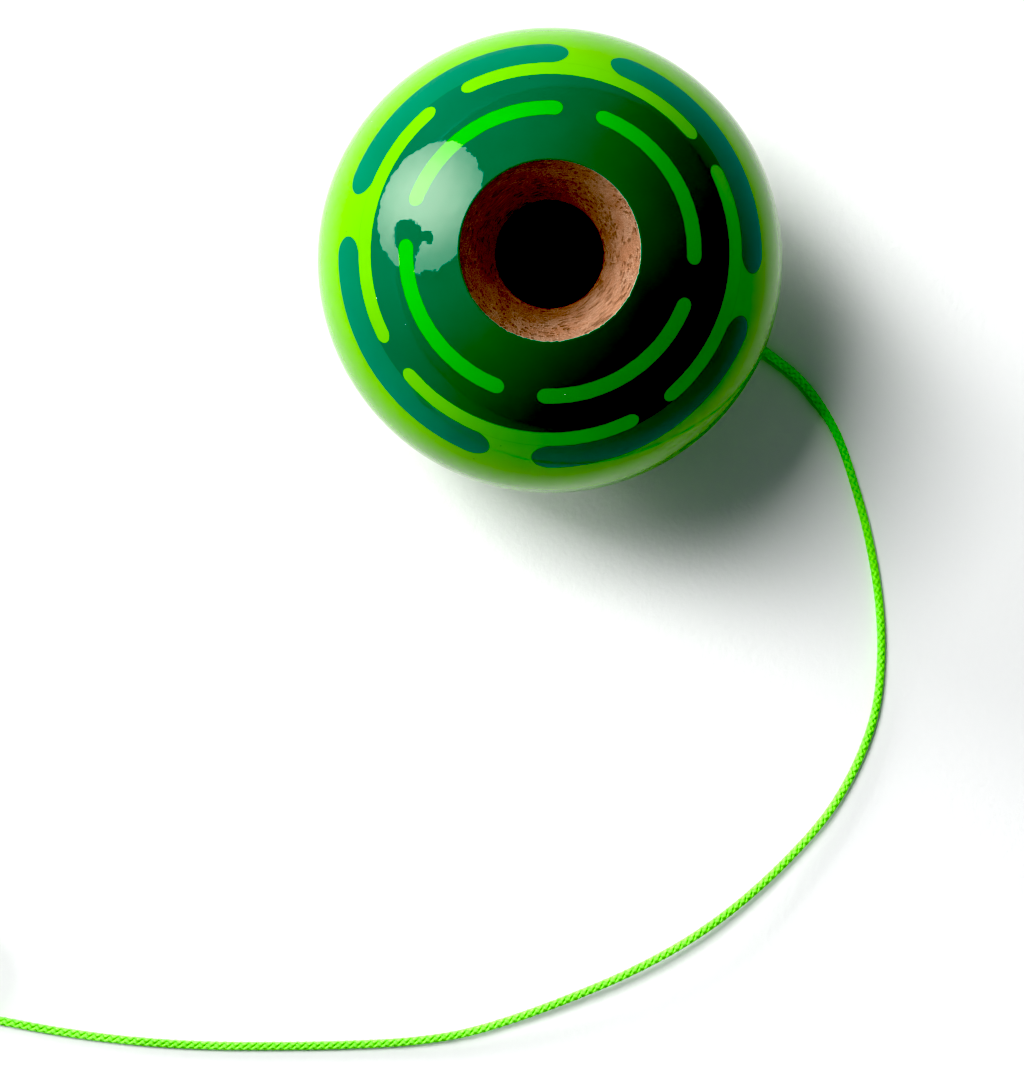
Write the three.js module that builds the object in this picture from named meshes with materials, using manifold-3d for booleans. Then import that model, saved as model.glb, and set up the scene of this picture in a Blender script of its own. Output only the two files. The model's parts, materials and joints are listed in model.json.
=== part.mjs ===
// A kendama ball: a painted wooden ball with a deep bevelled bore, that turns on a small ball bearing at
// the bottom of the bore, and hangs on a thin braided string that lies on the table, its spare length coiled.
// Millimetres, +Z up. The ball stands on the origin, with its bore leaning a little towards -X, so that the
// string has room to come out from under it towards +X.

import * as THREE from "three";
import { mergeVertices } from "three/addons/utils/BufferGeometryUtils.js";
import Module from "manifold-3d";

const wasm = await Module();
wasm.setup();

// Driving dimensions
const BALL_R = 30;
const LEAN = THREE.MathUtils.degToRad(9.5);
const STRING_R = 0.6;
const GAP = 0.3;

// The bore, with heights measured along its own axis from the ball's centre
const RIM_R = 11.1;
const BORE_R = 6.6;
const BEVEL_FOOT = 17;
const BORE_FLOOR = -14;
const HOLE_R = 1.3;
const MOUTH_R = 4.2;
const MOUTH_TOP = -27.6;

// The bearing, 3 x 8 x 3 mm, in a seat below the bore's floor
const BEARING_R = 4;
const BEARING_HALF = 1.5;
const BEARING_BORE_R = 1.5;
const PITCH_R = 2.75;
const BEARING_BALL_R = 0.55;
const BEARING_BALLS = 7;
const GROOVE_R = 0.7;
const LAND = 0.45; // from the balls' pitch circle to the shoulder of either ring
const SHIELD_RECESS = 0.35;
const BEARING_CENTRE = BORE_FLOOR - 0.2 - BEARING_HALF;
const SEAT_R = BEARING_R + GAP;
const SEAT_FLOOR = BEARING_CENTRE - BEARING_HALF - GAP;
const RELIEF_R = 3.3;
const RELIEF_DEPTH = 0.5;

// The washer and the stopper knot on top of the bearing
const WASHER_R = 2.4;
const WASHER_HOLE_R = STRING_R + GAP;
const WASHER_HEIGHT = 0.8;
const WASHER_FOOT = BEARING_CENTRE + BEARING_HALF + GAP;
const STOPPER_R = 1.9;
const STOPPER_LENGTH = 3.8;
const STOPPER_FOOT = WASHER_FOOT + WASHER_HEIGHT + GAP;

// The string's bend out of the hole, its coil, its tail and its end knot
const BEND_R = 2.4;
const COIL_AT = [-81.4, -89.9];
const COIL_R = 6.6;
const COIL_WIDTH = 3.6;
const COIL_HEIGHT = 2.4;
const COIL_FOOT = 0.5;
const TIE_WIDTH = 2;
const TIE_THICKNESS = 0.3;
const TIE_GAP = 0.2;
const TIE_ANGLE = THREE.MathUtils.degToRad(150);
const END_KNOT_R = 1.6;
const END_KNOT_LENGTH = 4;
const END_KNOT_AT = [-94.3, -95.1, END_KNOT_R];

const ROUND = 48;
const SMALL_ROUND = 32;

const vec2 = (x, y) => new THREE.Vector2(x, y);
const vec3 = (x, y, z) => new THREE.Vector3(x, y, z);

// Materials

const woodMaterial = () => new THREE.MeshStandardMaterial({ color: 0x1fae3c, roughness: 0.12, metalness: 0 });
const steelMaterial = () => new THREE.MeshStandardMaterial({ color: 0xb9bcc0, roughness: 0.25, metalness: 1 });
const brassMaterial = () => new THREE.MeshStandardMaterial({ color: 0xc9a14a, roughness: 0.3, metalness: 1 });
const stringMaterial = () => new THREE.MeshStandardMaterial({ color: 0x8fe01c, roughness: 0.75, metalness: 0 });
const tieMaterial = () => new THREE.MeshStandardMaterial({ color: 0xf2f2ee, roughness: 0.5, metalness: 0 });

// Shared shapes

function named(name, geometry, material) {
  const mesh = new THREE.Mesh(geometry, material);
  mesh.name = name;
  return mesh;
}

function arcPoints(x, y, radius, from, to, count) {
  const points = [];
  for (let i = 0; i <= count; i++) {
    const angle = THREE.MathUtils.degToRad(from + ((to - from) * i) / count);
    points.push(vec2(x + radius * Math.cos(angle), y + radius * Math.sin(angle)));
  }
  return points;
}

// A closed outline, listed anticlockwise as (radius, height), turned about +Z
function turnedRing(outline, segments) {
  const geometry = new THREE.LatheGeometry([...outline, outline[0]], segments);
  geometry.rotateX(Math.PI / 2);
  return geometry;
}

function washerShape(innerR, outerR, bottom, top, segments) {
  return turnedRing([vec2(innerR, bottom), vec2(outerR, bottom), vec2(outerR, top), vec2(innerR, top)], segments);
}

// A barrel about +Z with rounded ends, its middle at the origin
function knotShape(radius, length) {
  const end = length / 2;
  const shoulder = radius * 0.72;
  const half = [vec2(0, -end), vec2(shoulder, -end * 0.86), vec2(radius, -end * 0.35)];
  const other = half.map((point) => vec2(point.x, -point.y)).reverse();
  const geometry = new THREE.LatheGeometry([...half, ...other], 16);
  geometry.rotateX(Math.PI / 2);
  return geometry;
}

function stringTube(points, steps) {
  const section = new THREE.Shape(arcPoints(0, 0, STRING_R, 0, 315, 7));
  const extrudePath = new THREE.CatmullRomCurve3(points, false, "centripetal");
  return new THREE.ExtrudeGeometry(section, { steps, extrudePath, bevelEnabled: false });
}

// Booleans

function toSolid(geometry) {
  const bare = geometry.clone();
  bare.deleteAttribute("normal");
  bare.deleteAttribute("uv");
  const merged = mergeVertices(bare.index ? bare.toNonIndexed() : bare, 1e-4);
  const mesh = new wasm.Mesh({
    numProp: 3,
    vertProperties: new Float32Array(merged.attributes.position.array),
    triVerts: new Uint32Array(merged.index.array),
  });
  return new wasm.Manifold(mesh);
}

function toGeometry(solid) {
  const mesh = solid.getMesh();
  const geometry = new THREE.BufferGeometry();
  geometry.setAttribute("position", new THREE.BufferAttribute(mesh.vertProperties, 3));
  geometry.setIndex(new THREE.BufferAttribute(mesh.triVerts, 1));
  geometry.computeVertexNormals();
  return geometry;
}

// The ball: a ring of vertices lies where it touches the table
function ball() {
  const contact = -90 + THREE.MathUtils.radToDeg(LEAN);
  const rim = THREE.MathUtils.radToDeg(Math.acos(RIM_R / BALL_R));
  const outline = [
    vec2(MOUTH_R, -Math.sqrt(BALL_R ** 2 - MOUTH_R ** 2)),
    ...arcPoints(0, 0, BALL_R, contact, rim, 24),
    vec2(BORE_R, BEVEL_FOOT),
    vec2(BORE_R, BORE_FLOOR),
    vec2(SEAT_R, BORE_FLOOR),
    vec2(SEAT_R, SEAT_FLOOR),
    vec2(RELIEF_R, SEAT_FLOOR),
    vec2(RELIEF_R, SEAT_FLOOR - RELIEF_DEPTH),
    vec2(HOLE_R, SEAT_FLOOR - RELIEF_DEPTH),
    vec2(HOLE_R, MOUTH_TOP),
  ];
  return named("wooden_ball", turnedRing(outline, ROUND), woodMaterial());
}

// The bearing's pieces, about their own centre

function outerRing() {
  const shoulder = PITCH_R + LAND;
  const recess = BEARING_HALF - SHIELD_RECESS;
  const reach = THREE.MathUtils.radToDeg(Math.acos(LAND / GROOVE_R));
  const outline = [
    vec2(BEARING_R, -BEARING_HALF),
    vec2(BEARING_R, BEARING_HALF),
    vec2(shoulder + SHIELD_RECESS, BEARING_HALF),
    vec2(shoulder + SHIELD_RECESS, recess),
    vec2(shoulder, recess),
    ...arcPoints(PITCH_R, 0, GROOVE_R, reach, -reach, 4),
    vec2(shoulder, -recess),
    vec2(shoulder + SHIELD_RECESS, -recess),
    vec2(shoulder + SHIELD_RECESS, -BEARING_HALF),
  ];
  return named("bearing_outer_ring", turnedRing(outline, SMALL_ROUND), steelMaterial());
}

function innerRing() {
  const shoulder = PITCH_R - LAND;
  const reach = THREE.MathUtils.radToDeg(Math.acos(LAND / GROOVE_R));
  const outline = [
    vec2(BEARING_BORE_R, -BEARING_HALF),
    vec2(shoulder, -BEARING_HALF),
    ...arcPoints(PITCH_R, 0, GROOVE_R, 180 + reach, 180 - reach, 4),
    vec2(shoulder, BEARING_HALF),
    vec2(BEARING_BORE_R, BEARING_HALF),
  ];
  return named("bearing_inner_ring", turnedRing(outline, SMALL_ROUND), steelMaterial());
}

function shield(name, side) {
  const thickness = 0.2;
  const low = BEARING_HALF - 0.08 - thickness;
  const geometry = washerShape(PITCH_R - LAND + 0.15, PITCH_R + LAND + SHIELD_RECESS - 0.1, low, low + thickness, SMALL_ROUND);
  if (side < 0) geometry.rotateX(Math.PI);
  return named(name, geometry, steelMaterial());
}

const ballAngle = (i) => (i * 2 * Math.PI) / BEARING_BALLS;

function bearingBall(i) {
  const mesh = named(`bearing_ball_${i + 1}`, new THREE.SphereGeometry(BEARING_BALL_R, 12, 8), steelMaterial());
  mesh.position.set(PITCH_R * Math.cos(ballAngle(i)), PITCH_R * Math.sin(ballAngle(i)), 0);
  return mesh;
}

// The cage is a crown: a thin ring under the balls, with a post between each two of them
function cage() {
  const ringHalfWidth = LAND - 0.15;
  const ringFoot = -1.05;
  const ringTop = -0.8;
  const postTop = 0.45;
  let solid = toSolid(washerShape(PITCH_R - ringHalfWidth, PITCH_R + ringHalfWidth, ringFoot, ringTop, SMALL_ROUND));
  for (let i = 0; i < BEARING_BALLS; i++) {
    const post = new THREE.BoxGeometry(0.44, 0.6, postTop - ringFoot - 0.1);
    post.translate(PITCH_R, 0, (postTop + ringFoot + 0.1) / 2);
    post.rotateZ(ballAngle(i + 0.5));
    solid = solid.add(toSolid(post));
  }
  return named("bearing_cage", toGeometry(solid), brassMaterial());
}

function bearing() {
  const group = new THREE.Group();
  group.position.z = BEARING_CENTRE;
  group.add(outerRing(), innerRing(), cage());
  group.add(shield("bearing_upper_shield", 1), shield("bearing_lower_shield", -1));
  for (let i = 0; i < BEARING_BALLS; i++) group.add(bearingBall(i));
  return group;
}

function washer() {
  const top = WASHER_FOOT + WASHER_HEIGHT;
  const geometry = washerShape(WASHER_HOLE_R, WASHER_R, WASHER_FOOT, top, SMALL_ROUND);
  return named("washer", geometry, brassMaterial());
}

function stopperKnot() {
  const mesh = named("stopper_knot", knotShape(STOPPER_R, STOPPER_LENGTH), stringMaterial());
  mesh.position.z = STOPPER_FOOT + STOPPER_LENGTH / 2;
  return mesh;
}

// Everything that shares the bore's axis, leaned over about the ball's centre
function leaningGroup() {
  const group = new THREE.Group();
  group.position.z = BALL_R;
  group.rotation.y = -LEAN;
  group.add(ball(), bearing(), washer(), stopperKnot());
  return group;
}

// The string

const boreAxis = vec3(-Math.sin(LEAN), 0, Math.cos(LEAN));
const sideways = vec3(Math.cos(LEAN), 0, Math.sin(LEAN));

function onAxis(height) {
  return vec3(0, 0, BALL_R).addScaledVector(boreAxis, height);
}

// The string's points on the table: close under the ball, then on to the coil
const LEAD_OUT = [[7.3, 0], [10, 0], [14.2, -0.65]];
const STRING_ROUTE = [
  [14.5, -0.7], [20.5, -2.6], [27.5, -6], [34.5, -10.6], [40, -15],
  [44.5, -21.5], [47.5, -29.8], [49.6, -38], [50.8, -46], [51, -53],
  [50.2, -60], [47.8, -66.8], [43.8, -73.6], [38.2, -79.8], [31.2, -85.9],
  [24.2, -90.7], [16, -95], [7.6, -98.5], [-0.5, -101.4], [-7.5, -103.3],
  [-14.5, -104.2], [-22.5, -104.5], [-32, -104.5], [-42.5, -104.2], [-52, -103.4],
  [-61.5, -102], [-69.5, -100.4], [-78, -98.6],
];

function onTable(route) {
  return route.map(([x, y]) => vec3(x, y, STRING_R));
}

// Down the hole from the stopper knot, then round a bend until it runs level from under the ball towards +X
function stringInBall() {
  const bendStart = (STRING_R + BEND_R - BEND_R * sideways.z - BALL_R) / boreAxis.z;
  const top = STOPPER_FOOT - GAP;
  const points = [];
  for (let i = 0; i < 5; i++) points.push(onAxis(top + ((bendStart - top) * i) / 5));
  const centre = onAxis(bendStart).addScaledVector(sideways, BEND_R);
  const turn = Math.PI / 2 - LEAN;
  for (let i = 0; i <= 4; i++) {
    const angle = (turn * i) / 4;
    const point = centre.clone().addScaledVector(sideways, -BEND_R * Math.cos(angle));
    points.push(point.addScaledVector(boreAxis, -BEND_R * Math.sin(angle)));
  }
  return named("string_in_ball", stringTube([...points, ...onTable(LEAD_OUT)], 18), stringMaterial());
}

function stringRun() {
  return named("string_run", stringTube(onTable(STRING_ROUTE), 72), stringMaterial());
}

function stringCoil() {
  const half = COIL_WIDTH / 2;
  const geometry = washerShape(COIL_R - half, COIL_R + half, 0, COIL_HEIGHT, ROUND);
  const mesh = named("string_coil", geometry, stringMaterial());
  mesh.position.set(COIL_AT[0], COIL_AT[1], COIL_FOOT);
  return mesh;
}

// From the top of the coil to the end knot
function stringTail() {
  const points = [vec3(-88, -96.4, 2.2), vec3(-90, -96, 1.9), vec3(-92.05, -95.55, 1.7)];
  return named("string_tail", stringTube(points, 3), stringMaterial());
}

function endKnot() {
  const mesh = named("end_knot", knotShape(END_KNOT_R, END_KNOT_LENGTH), stringMaterial());
  const along = THREE.MathUtils.degToRad(168);
  mesh.position.set(...END_KNOT_AT);
  mesh.rotation.set(0, Math.PI / 2, along, "ZYX");
  return mesh;
}

// A flat band round the coil, on the side away from the string's way in
function coilTie() {
  const outerX = COIL_WIDTH / 2 + GAP + TIE_THICKNESS;
  const bottom = COIL_FOOT - TIE_GAP - TIE_THICKNESS;
  const top = COIL_FOOT + COIL_HEIGHT + TIE_GAP + TIE_THICKNESS;
  const rectangle = (halfX, low, high) => [vec2(-halfX, low), vec2(halfX, low), vec2(halfX, high), vec2(-halfX, high)];
  const band = new THREE.Shape(rectangle(outerX, bottom, top));
  const opening = rectangle(outerX - TIE_THICKNESS, bottom + TIE_THICKNESS, top - TIE_THICKNESS);
  band.holes.push(new THREE.Path(opening));
  const geometry = new THREE.ExtrudeGeometry(band, { depth: TIE_WIDTH, bevelEnabled: false });
  geometry.translate(0, 0, -TIE_WIDTH / 2);
  geometry.rotateX(Math.PI / 2);
  const mesh = named("coil_tie", geometry, tieMaterial());
  mesh.position.set(COIL_AT[0] + COIL_R * Math.cos(TIE_ANGLE), COIL_AT[1] + COIL_R * Math.sin(TIE_ANGLE), 0);
  mesh.rotation.z = TIE_ANGLE;
  return mesh;
}

const kendamaBall = new THREE.Group();
kendamaBall.add(leaningGroup(), stringInBall(), stringRun(), stringCoil(), stringTail(), endKnot(), coilTie());

export default kendamaBall;
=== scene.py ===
"""A kendama ball on its string: the fine wood, paint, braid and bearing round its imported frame.

Metres, +Z up. The ball stands on the origin, and its bore leans a little towards -X.
"""

import json
import math
import random

import bmesh
import bpy
from bpy.props import FloatProperty, FloatVectorProperty, IntProperty, PointerProperty
from mathutils import Matrix, Vector


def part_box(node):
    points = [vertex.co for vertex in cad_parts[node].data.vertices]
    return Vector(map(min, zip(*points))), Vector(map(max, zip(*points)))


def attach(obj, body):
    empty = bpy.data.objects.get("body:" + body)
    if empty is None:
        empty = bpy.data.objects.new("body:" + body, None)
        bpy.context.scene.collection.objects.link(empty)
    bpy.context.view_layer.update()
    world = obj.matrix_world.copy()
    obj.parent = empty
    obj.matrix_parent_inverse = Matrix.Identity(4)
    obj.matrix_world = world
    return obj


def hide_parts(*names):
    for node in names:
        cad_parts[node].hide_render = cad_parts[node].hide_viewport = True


bl_info = {
    "name": "Kendama Ball",
    "version": (1, 0, 0),
    "blender": (4, 5, 0),
    "location": "3D View > Sidebar > Kendama",
    "description": "Builds a painted kendama ball, its bearing and its braided string",
    "category": "Add Mesh",
}

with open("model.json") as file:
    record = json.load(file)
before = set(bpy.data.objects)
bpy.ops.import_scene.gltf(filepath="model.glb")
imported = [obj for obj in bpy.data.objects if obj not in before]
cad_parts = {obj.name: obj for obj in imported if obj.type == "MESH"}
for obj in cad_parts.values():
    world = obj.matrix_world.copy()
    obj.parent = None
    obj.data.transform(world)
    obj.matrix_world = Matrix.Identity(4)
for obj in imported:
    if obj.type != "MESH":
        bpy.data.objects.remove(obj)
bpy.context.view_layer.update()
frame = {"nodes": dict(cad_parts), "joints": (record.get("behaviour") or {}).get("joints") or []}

MM = 0.001
SPIN = next(joint for joint in frame["joints"] if joint["name"] == "ball_spin")
CENTRE = Vector(SPIN["pos_m"])
AXIS = Vector(SPIN["axis"]).normalized()
LEAN = math.atan2(-AXIS.x, AXIS.z)
PLACE = Matrix.Translation(CENTRE) @ Matrix.Rotation(-LEAN, 4, "Y")
SIDEWAYS = PLACE.to_3x3() @ Vector((1, 0, 0))
BALL_RADIUS = (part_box("wooden_ball")[1].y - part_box("wooden_ball")[0].y) / 2

# Heights up the bore's axis, from the ball's centre
KNOT_HEIGHT = -10.9 * MM
WASHER_TOP = -13.1 * MM
WASHER_FOOT = -13.9 * MM
BEARING_HEIGHT = -15.7 * MM

# The string's route along the table, from under the ball to the coil, as (x, y)
STRING_ROUTE = [
    (0.0073, 0), (0.01, 0), (0.0145, -0.0007), (0.0205, -0.0026), (0.0275, -0.006),
    (0.0345, -0.0106), (0.04, -0.015), (0.0445, -0.0215), (0.0475, -0.0298), (0.0496, -0.038),
    (0.0508, -0.046), (0.051, -0.053), (0.0502, -0.06), (0.0478, -0.0668), (0.0438, -0.0736),
    (0.0382, -0.0798), (0.0312, -0.0859), (0.0242, -0.0907), (0.016, -0.095), (0.0076, -0.0985),
    (-0.0005, -0.1014), (-0.0075, -0.1033), (-0.0145, -0.1042), (-0.0225, -0.1045), (-0.032, -0.1045),
    (-0.0425, -0.1042), (-0.052, -0.1034), (-0.0615, -0.102), (-0.0695, -0.1004), (-0.078, -0.0986),
]
# Where on its route the string springs furthest from the table
LIFTED_AT = (0.018, -0.0945)

# The coil, and past it the string's last points, its knot and the way that end points
COIL_CENTRE = Vector((-0.0814, -0.0899))
COIL_ENTRY = math.radians(-101.9)
STRING_TAIL = [(-0.088, -0.0964, 0.0022), (-0.09, -0.096, 0.0019), (-0.0922, -0.09555, 0.0017)]
END_KNOT = (-0.0943, -0.0951, 0.0017)
END_PULL = Vector((-0.9785, 0.206, 0))

# The opening and the plant of the window that the lacquer mirrors, as ovals of (middle, radii)
# in millimetres on its card, where x runs down and y to the right
OPENING = ((8, 9), (49, 49))
PLANT = (((31, 0), (14, 14)), ((27, 16), (4, 8)), ((50, 1), (20, 9)), ((62, -18), (9, 11)))
DAZZLE = ((2, 8), (50, 60))

# The pale cut edge of the paint film, and the soil on the band
CHIPPED_EDGE = (0.7, 0.66, 0.52, 1.0)
SOIL = (0.55, 0.54, 0.48, 1.0)

# Tints of the lamps, the mirrored window, the room, and the room as the lacquer mirrors it
LAMP_TINT = (1.0, 0.99, 0.97)
WINDOW_TINT = (0.93, 1.0, 0.8, 1.0)
ROOM_TINT = (0.93, 0.97, 1.0, 1.0)
MIRROR_TINT = (0.6, 0.95, 1.1, 1.0)


# Sizes and colours


def length(name, default, description):
    return FloatProperty(name=name, default=default, description=description, unit="LENGTH", precision=5)


def number(name, default, description):
    return FloatProperty(name=name, default=default, description=description)


def whole(name, default, low, high, description):
    return IntProperty(name=name, default=default, min=low, max=high, description=description)


def colour(name, default, description):
    return FloatVectorProperty(
        name=name, default=default, description=description, subtype="COLOR", min=0, max=1
    )


def dash_row(name, middle, half_width, span, turn):
    note = "Middle and half width down from the bore, then span and turn round it, in degrees"
    row = (middle, half_width, span, turn)
    return FloatVectorProperty(name=name, default=row, description=note, size=4)


class KendamaBallSizes(bpy.types.PropertyGroup):
    radius: length("Ball radius", BALL_RADIUS, "Radius over the lacquer")
    rim_radius: length("Rim radius", 11.25 * MM, "Radius of the bevel's outer edge")
    bore_radius: length("Bore radius", 6.7 * MM, "Radius of the bore")
    bevel_foot: length("Bevel foot", 17 * MM, "Height above the centre where the bevel meets the bore")
    bore_floor: length("Bore floor", -14 * MM, "Height of the bore's floor from the centre")
    seat_radius: length("Seat radius", 4.3 * MM, "Radius of the bearing's seat")
    seat_floor: length("Seat floor", -17.5 * MM, "Height of the seat's floor from the centre")
    hole_radius: length("Hole radius", 1.3 * MM, "Radius of the string hole")
    mouth_radius: length("Mouth radius", 4.2 * MM, "Radius of the string hole's flared mouth")
    mouth_top: length("Mouth top", -27.6 * MM, "Height where the hole begins to flare")
    film: length("Paint film", 0.16 * MM, "Thickness of the paint and lacquer")
    chip: length("Chip depth", 0.13 * MM, "How far the film is chipped back at the rim")


class KendamaPaint(bpy.types.PropertyGroup):
    lime: colour("Lime", (0.115, 0.39, 0.004), "The light paint")
    bright: colour("Bright green", (0.03, 0.3, 0.002), "The paint of the inner dashes")
    green: colour("Dark green", (0.001, 0.1, 0.052), "The dark paint of the cap")
    sea: colour("Sea green", (0.004, 0.13, 0.058), "The dark paint of the outer dashes")
    cap_edge: number("Cap edge", 53.2, "Where the dark cap ends, in degrees from the bore")
    inner_dashes: dash_row("Inner dashes", 36.65, 2.18, 76.4, 33.1)
    edge_dashes: dash_row("Lime dashes at the cap's edge", 50.75, 2.44, 80.1, 78.4)
    outer_dashes: dash_row("Dark dashes outside the cap", 58.1, 4.95, 77.8, 33.6)
    wood: colour("Bare wood", (0.275, 0.119, 0.07), "The wood in the bevel and the bore")
    wood_pale: colour("Pale wood", (0.362, 0.204, 0.14), "The lighter streaks and the worn lip")
    # The next five set a painted glow: faint light that the wood and the dark paints give off in their
    # shade
    wood_glow: number("Wood glow", 0.084, "Strength of the wood's haze")
    coat_glow: number("Paint glow", 0.04, "Strength of the dark paints' haze")
    wood_painted_glow: colour("Wood haze", (1.0, 0.87, 0.74), "Faint light in the wood's shade")
    cap_painted_glow: colour("Cap haze", (0.0, 0.42, 0.42), "Faint light in the cap's shade")
    sea_painted_glow: colour("Sea haze", (0.0, 0.6, 1.0), "Faint light in the shade of the outer dashes")
    wood_fleck: colour("Wood flecks", (0.1, 0.04, 0.022), "The short dark flecks in the grain")


class KendamaString(bpy.types.PropertyGroup):
    diameter: length("Diameter", 1.2 * MM, "Diameter over the braid")
    lay: length("Lay", 4.4 * MM, "Length in which a strand goes once round")
    step: length("Step", 0.2 * MM, "Length of one facet of a strand")
    each_way: whole("Strands each way", 4, 2, 12, "Strands that wind each way")
    strand_width: length("Strand width", 0.6 * MM, "Width of one flattened strand")
    strand_height: length("Strand height", 0.26 * MM, "Thickness of one flattened strand")
    swell: length("Swell", 0.045 * MM, "How far a strand rises over the one it crosses")
    # A lit and a shaded copy of the yarn: painted highlight on the braid's crowns, painted shade in its
    # hollows; the yarn glow is a faint painted glow
    light: colour("Lime yarn", (0.27, 0.9, 0.12), "The yarn on the braid's crowns")
    painted_shade: colour("Deep yarn", (0.13, 0.74, 0.045), "The yarn in the braid's hollows")
    glow: number("Yarn glow", 0.03, "How much of its own tone the yarn adds in the shade")
    bend_radius: length("Bend radius", 2.4 * MM, "Radius of the bend where the string leaves the hole")
    lift: length("Lift", 1.9 * MM, "How far the string springs clear of the table in its bend")
    lift_reach: length("Lift reach", 24 * MM, "How far along the bend it stays clear")
    coil_turns: whole("Coil turns", 4, 2, 8, "Turns of spare string")
    coil_radius: length("Coil radius", 7.8 * MM, "Radius of the coil's outer turn")
    coil_foot: length("Coil foot", 0.5 * MM, "How far the band lifts the coil off the table")


class KendamaStage(bpy.types.PropertyGroup):
    distance: length("Camera distance", 0.6, "From the ball's centre")
    dip: number("Camera dip", 2.7, "From the bore's axis towards -Y, in degrees")
    aim: FloatVectorProperty(
        name="Aim", default=(-0.0002, -0.0363, 0), subtype="TRANSLATION", description="Point looked at"
    )
    lens: number("Lens", 154.8, "Focal length on a 36 mm sensor, in millimetres")
    light_side: number("Light side", 149, "Where the daylight comes from, in degrees from +X")
    light_reach: length("Light distance", 2.5, "From the ball to the lights")
    mirror_reach: length("Mirrored window distance", 0.1, "From the ball to the mirrored window")
    key_glow: number("High window", 26, "Brightness of the high window")
    low_glow: number("Low window", 38, "Brightness of the low window")
    window_glow: number("Window reflection", 25, "Brightness of the window the lacquer mirrors")
    sky_dim: number("Dim room", 0.245, "Brightness of the room behind")
    sky_bright: number("Bright room", 0.36, "Brightness of the room on the window's side")
    mirror_gain: number("Mirrored room", 2.5, "How much brighter the lacquer sees the room")
    black: number("Black point", 0.11, "Linear brightness that shows as black")
    paper: colour("Paper", (0.86, 0.87, 0.88), "The table's pale paper")


# Node trees


class Graph:
    """Adds nodes to one tree, and feeds values or other nodes' outputs into them."""

    def __init__(self, tree):
        self.tree = tree

    def feed(self, socket, value):
        if isinstance(value, bpy.types.NodeSocket):
            self.tree.links.new(value, socket)
        else:
            socket.default_value = value

    def fill(self, node, values):
        for key, value in values.items():
            self.feed(node.inputs[key], value)

    def add(self, kind, inputs=None, **settings):
        node = self.tree.nodes.new(kind)
        for name, value in settings.items():
            setattr(node, name, value)
        self.fill(node, inputs or {})
        return node

    def first(self, kind, inputs=None, **settings):
        return self.add(kind, inputs, **settings).outputs[0]

    def math(self, operation, *values):
        return self.add("ShaderNodeMath", dict(enumerate(values)), operation=operation).outputs[0]

    def times(self, one, other):
        return self.math("MULTIPLY", one, other)

    def plus(self, one, other):
        return self.math("ADD", one, other)

    def minus(self, one, other):
        return self.math("SUBTRACT", one, other)

    def vector(self, operation, *values):
        node = self.add("ShaderNodeVectorMath", dict(enumerate(values)), operation=operation)
        single = operation in ("LENGTH", "DOT_PRODUCT")
        return node.outputs["Value"] if single else node.outputs[0]

    def scaled(self, vector, factor):
        return self.add("ShaderNodeVectorMath", {0: vector, "Scale": factor}, operation="SCALE").outputs[0]

    def ramp(self, value, low, high, to_low=0.0, to_high=1.0):
        inputs = {"Value": value, "From Min": low, "From Max": high, "To Min": to_low, "To Max": to_high}
        return self.add("ShaderNodeMapRange", inputs, interpolation_type="SMOOTHSTEP").outputs[0]

    def mix(self, factor, first, second, blend="MIX"):
        inputs = {0: factor, 6: first, 7: second}
        return self.add("ShaderNodeMix", inputs, data_type="RGBA", blend_type=blend).outputs[2]

    def dimmed(self, tone, factor):
        """A tone with all its channels multiplied by one factor."""
        level = self.first("ShaderNodeCombineColor", {0: factor, 1: factor, 2: factor})
        return self.mix(1.0, tone, level, "MULTIPLY")

    def attribute(self, name):
        return self.add("ShaderNodeAttribute", attribute_name=name).outputs["Fac"]

    def noise(self, vector, scale, detail=2.0, rough=0.5):
        inputs = {"Vector": vector, "Scale": scale, "Detail": detail, "Roughness": rough}
        return self.add("ShaderNodeTexNoise", inputs).outputs["Fac"]

    def specks(self, vector, scale, size, share):
        """Small round specks: the cells' points within size, in the given share of the cells."""
        cell = self.add("ShaderNodeTexVoronoi", {"Vector": vector, "Scale": scale})
        near = self.math("LESS_THAN", cell.outputs["Distance"], size)
        chance = self.first("ShaderNodeSeparateColor", {0: cell.outputs["Color"]})
        pick = self.math("LESS_THAN", chance, share)
        return self.times(near, pick)

    def bump(self, height, distance, strength=1.0):
        inputs = {"Height": height, "Distance": distance, "Strength": strength}
        return self.add("ShaderNodeBump", inputs).outputs[0]


def grey(value):
    return (value, value, value, 1.0)


def opaque(values):
    return (*values, 1.0)


def node_group(name, kind, inputs, outputs):
    """A new tree with these sockets; returns its graph, its input node's outputs and its output node."""
    tree = bpy.data.node_groups.new(name, kind)
    for way, sockets in (("INPUT", inputs), ("OUTPUT", outputs)):
        for label, socket_type in sockets.items():
            tree.interface.new_socket(label, in_out=way, socket_type=socket_type)
    graph = Graph(tree)
    return graph, graph.add("NodeGroupInput").outputs, graph.add("NodeGroupOutput")


def material(name):
    """A bare Principled material: its graph and its shader."""
    made = bpy.data.materials.new(name)
    made.use_nodes = True
    graph = Graph(made.node_tree)
    shader = made.node_tree.nodes["Principled BSDF"]
    return made, graph, shader


def local_millimetres(graph):
    """Object coordinates in millimetres, about the ball's centre, with +Z up the bore."""
    place = graph.add("ShaderNodeTexCoord").outputs["Object"]
    turn = {"Vector": place, "Location": CENTRE, "Rotation": (0, -LEAN, 0), "Scale": (MM, MM, MM)}
    return graph.first("ShaderNodeMapping", turn, vector_type="TEXTURE")


def table_millimetres(graph):
    place = graph.add("ShaderNodeTexCoord").outputs["Object"]
    return graph.first("ShaderNodeMapping", {"Vector": place, "Scale": (1000, 1000, 1000)})


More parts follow.
